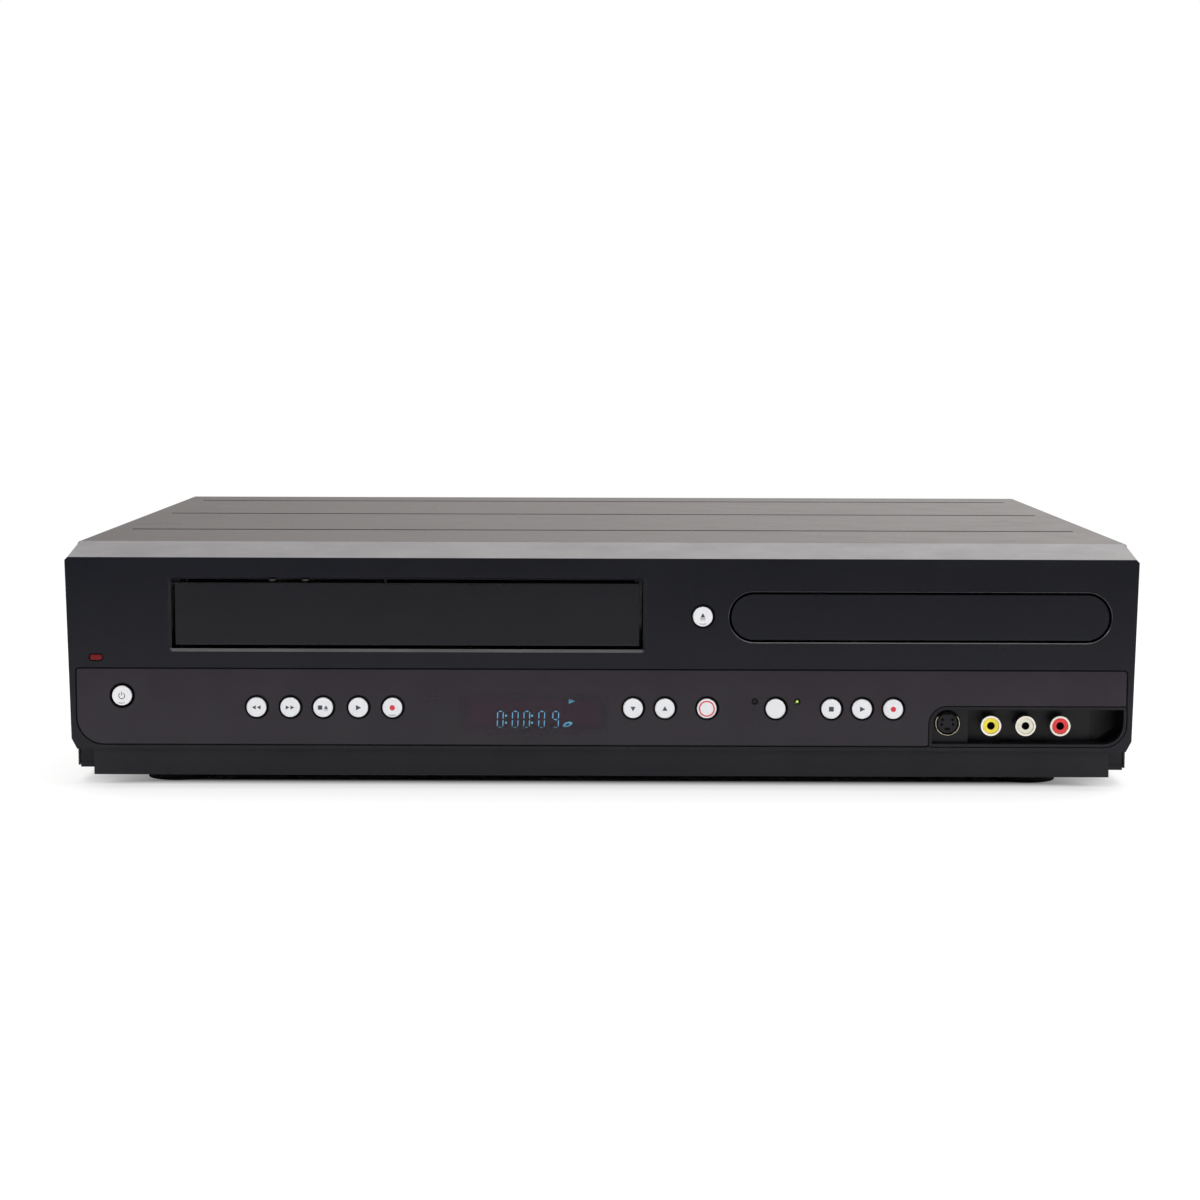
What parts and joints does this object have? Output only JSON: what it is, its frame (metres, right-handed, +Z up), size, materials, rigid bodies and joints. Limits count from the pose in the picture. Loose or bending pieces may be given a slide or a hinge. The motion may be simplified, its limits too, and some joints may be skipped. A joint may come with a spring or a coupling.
{
  "type": "dvd vcr combo player",
  "caption": "Full-width black set-top recorder with a cassette slot, a sliding disc drawer, round push buttons, a smoked control strip and a sheet-metal cover.",
  "frame": {"origin": "middle of the footprint, on the surface that the feet stand on", "axes": "+X to the user's right along the front, +Y to the back, +Z up"},
  "size_m": [0.435, 0.3278, 0.0995],
  "materials": {
    "black_plastic": "satin moulded black",
    "smoked_plastic": "smoked gloss strip",
    "cover_paint": "fine textured black paint",
    "button_grey": "pale grey moulded caps",
    "rubber": "moulded feet",
    "red_lens": "clear red lens",
    "lamp_green": "lamp dome",
    "display_glass": "vacuum display tube",
    "board_green": "printed board",
    "board_brown": "paper laminate board",
    "zinc_steel": "zinc plated sheet",
    "nickel": "nickel plated shells",
    "yellow_plastic": "coloured insert",
    "white_plastic": "coloured insert",
    "red_plastic": "coloured insert",
    "grey_plastic": "dark grey mechanism plastic",
    "white_mech": "natural acetal",
    "polished_steel": "polished drum and shafts",
    "screw_black": "black oxide screws"
  },
  "bodies": {
    "case": {"front_panel": "black_plastic", "control_panel": "smoked_plastic", "power_lens": "red_lens", "source_lamps": "lamp_green", "display_tube": "display_glass", "front_board": "board_brown", "jack_recess": "black_plastic", "s_video_jack": "black_plastic", "phono_shells": "nickel", "phono_yellow": "yellow_plastic", "phono_white": "white_plastic", "phono_red": "red_plastic", "top_cover": "cover_paint", "cover_screws": "screw_black", "chassis_base": "black_plastic", "feet": "rubber", "rear_panel": "zinc_steel", "rear_jack_block": "black_plastic", "antenna_block": "nickel", "digital_socket": "nickel", "mains_inlet": "black_plastic", "fan_frame": "black_plastic", "main_board": "board_green", "power_board": "board_brown", "cassette_deck": "zinc_steel", "drum_lower": "polished_steel", "loader_chassis": "grey_plastic", "clamp_bridge": "zinc_steel"},
    "flap": {"cassette_flap": "black_plastic"},
    "key_standby": {"button_standby": "button_grey"},
    "key_rewind": {"button_rewind": "button_grey"},
    "key_forward": {"button_forward": "button_grey"},
    "key_stop_eject": {"button_stop_eject": "button_grey"},
    "key_cassette_play": {"button_cassette_play": "button_grey"},
    "key_cassette_record": {"button_cassette_record": "button_grey"},
    "key_tracking_down": {"button_tracking_down": "button_grey"},
    "key_tracking_up": {"button_tracking_up": "button_grey"},
    "key_dubbing": {"button_dubbing": "button_grey"},
    "key_source": {"button_source": "button_grey"},
    "key_disc_stop": {"button_disc_stop": "button_grey"},
    "key_disc_play": {"button_disc_play": "button_grey"},
    "key_disc_record": {"button_disc_record": "button_grey"},
    "key_open_close": {"button_open_close": "button_grey"},
    "slides": {"holder_slides": "white_mech"},
    "holder": {"cassette_holder": "zinc_steel"},
    "supply": {"supply_reel": "grey_plastic"},
    "takeup": {"takeup_reel": "grey_plastic"},
    "drum": {"drum_upper": "polished_steel"},
    "capstan_wheel": {"capstan": "polished_steel"},
    "pinch": {"pinch_arm": "grey_plastic"},
    "drawer": {"disc_tray": "grey_plastic", "tray_door": "black_plastic"},
    "drive_gear": {"tray_gear": "white_mech"},
    "traverse": {"traverse_frame": "zinc_steel"},
    "spindle": {"turntable": "grey_plastic"},
    "pickup_carriage": {"pickup": "grey_plastic"},
    "screw": {"lead_screw": "polished_steel"},
    "puck": {"clamp_puck": "white_mech"},
    "rotor": {"fan_rotor": "black_plastic"}
  },
  "joints": [
    {"name": "flap_hinge", "type": "hinge", "parent": "case", "child": "flap", "pos_m": [-0.0789, -0.15755, 0.0875], "axis": [1, 0, 0], "range_deg": [0, 90], "stiffness_Nm_per_rad": 0.02, "springref_deg": -17.19},
    {"name": "standby_press", "type": "slide", "parent": "case", "child": "key_standby", "axis": [0, 1, 0], "range_m": [0, 0.0007], "stiffness_N_per_m": 400},
    {"name": "rewind_press", "type": "slide", "parent": "case", "child": "key_rewind", "axis": [0, 1, 0], "range_m": [0, 0.0007], "stiffness_N_per_m": 400},
    {"name": "forward_press", "type": "slide", "parent": "case", "child": "key_forward", "axis": [0, 1, 0], "range_m": [0, 0.0007], "stiffness_N_per_m": 400},
    {"name": "stop_eject_press", "type": "slide", "parent": "case", "child": "key_stop_eject", "axis": [0, 1, 0], "range_m": [0, 0.0007], "stiffness_N_per_m": 400},
    {"name": "cassette_play_press", "type": "slide", "parent": "case", "child": "key_cassette_play", "axis": [0, 1, 0], "range_m": [0, 0.0007], "stiffness_N_per_m": 400},
    {"name": "cassette_record_press", "type": "slide", "parent": "case", "child": "key_cassette_record", "axis": [0, 1, 0], "range_m": [0, 0.0007], "stiffness_N_per_m": 400},
    {"name": "tracking_down_press", "type": "slide", "parent": "case", "child": "key_tracking_down", "axis": [0, 1, 0], "range_m": [0, 0.0007], "stiffness_N_per_m": 400},
    {"name": "tracking_up_press", "type": "slide", "parent": "case", "child": "key_tracking_up", "axis": [0, 1, 0], "range_m": [0, 0.0007], "stiffness_N_per_m": 400},
    {"name": "dubbing_press", "type": "slide", "parent": "case", "child": "key_dubbing", "axis": [0, 1, 0], "range_m": [0, 0.0007], "stiffness_N_per_m": 400},
    {"name": "source_press", "type": "slide", "parent": "case", "child": "key_source", "axis": [0, 1, 0], "range_m": [0, 0.0007], "stiffness_N_per_m": 400},
    {"name": "disc_stop_press", "type": "slide", "parent": "case", "child": "key_disc_stop", "axis": [0, 1, 0], "range_m": [0, 0.0007], "stiffness_N_per_m": 400},
    {"name": "disc_play_press", "type": "slide", "parent": "case", "child": "key_disc_play", "axis": [0, 1, 0], "range_m": [0, 0.0007], "stiffness_N_per_m": 400},
    {"name": "disc_record_press", "type": "slide", "parent": "case", "child": "key_disc_record", "axis": [0, 1, 0], "range_m": [0, 0.0007], "stiffness_N_per_m": 400},
    {"name": "open_close_press", "type": "slide", "parent": "case", "child": "key_open_close", "axis": [0, 1, 0], "range_m": [0, 0.0007], "stiffness_N_per_m": 400},
    {"name": "holder_load", "type": "slide", "parent": "case", "child": "slides", "axis": [0, 1, 0], "range_m": [0, 0.062]},
    {"name": "holder_lower", "type": "slide", "parent": "slides", "child": "holder", "axis": [0, 0, -1], "range_m": [0, 0.0183]},
    {"name": "supply_spin", "type": "hinge", "parent": "case", "child": "supply", "pos_m": [-0.12515, -0.01305, 0.038], "axis": [0, 0, 1], "continuous": true},
    {"name": "takeup_spin", "type": "hinge", "parent": "case", "child": "takeup", "pos_m": [-0.03265, -0.01305, 0.038], "axis": [0, 0, 1], "continuous": true},
    {"name": "drum_spin", "type": "hinge", "parent": "case", "child": "drum", "pos_m": [-0.0789, 0.08195, 0.0396], "axis": [0, -0.1028, 0.9947], "continuous": true},
    {"name": "capstan_spin", "type": "hinge", "parent": "case", "child": "capstan_wheel", "pos_m": [-0.034, 0.05095, 0.034], "axis": [0, 0, 1], "continuous": true},
    {"name": "pinch_swing", "type": "hinge", "parent": "case", "child": "pinch", "pos_m": [-0.004, 0.03895, 0.037], "axis": [0, 0, -1], "range_deg": [0, 25]},
    {"name": "drawer_slide", "type": "slide", "parent": "case", "child": "drawer", "axis": [0, -1, 0], "range_m": [0, 0.142]},
    {"name": "drive_gear_spin", "type": "hinge", "parent": "case", "child": "drive_gear", "pos_m": [0.0652, -0.14105, 0.064], "axis": [0, 0, 1], "continuous": true},
    {"name": "traverse_lift", "type": "hinge", "parent": "case", "child": "traverse", "pos_m": [0.1292, 0.02295, 0.052], "axis": [-1, 0, 0], "range_deg": [0, 5.4]},
    {"name": "disc_spin", "type": "hinge", "parent": "traverse", "child": "spindle", "pos_m": [0.1292, -0.08305, 0.058], "axis": [0, 0, 1], "continuous": true},
    {"name": "pickup_travel", "type": "slide", "parent": "traverse", "child": "pickup_carriage", "axis": [0, 1, 0], "range_m": [0, 0.036]},
    {"name": "screw_spin", "type": "hinge", "parent": "traverse", "child": "screw", "pos_m": [0.1577, -0.03305, 0.0548], "axis": [0, 1, 0], "continuous": true},
    {"name": "puck_spin", "type": "hinge", "parent": "case", "child": "puck", "pos_m": [0.1292, -0.08305, 0.08], "axis": [0, 0, 1], "continuous": true},
    {"name": "fan_spin", "type": "hinge", "parent": "case", "child": "rotor", "pos_m": [0.13, 0.14895, 0.058], "axis": [0, 1, 0], "continuous": true}
  ],
  "couplings": [
    {"joint": "drive_gear_spin", "follows": "drawer_slide", "rad_per_m": -125},
    {"joint": "screw_spin", "follows": "pickup_travel", "rad_per_m": 2094.4}
  ]
}
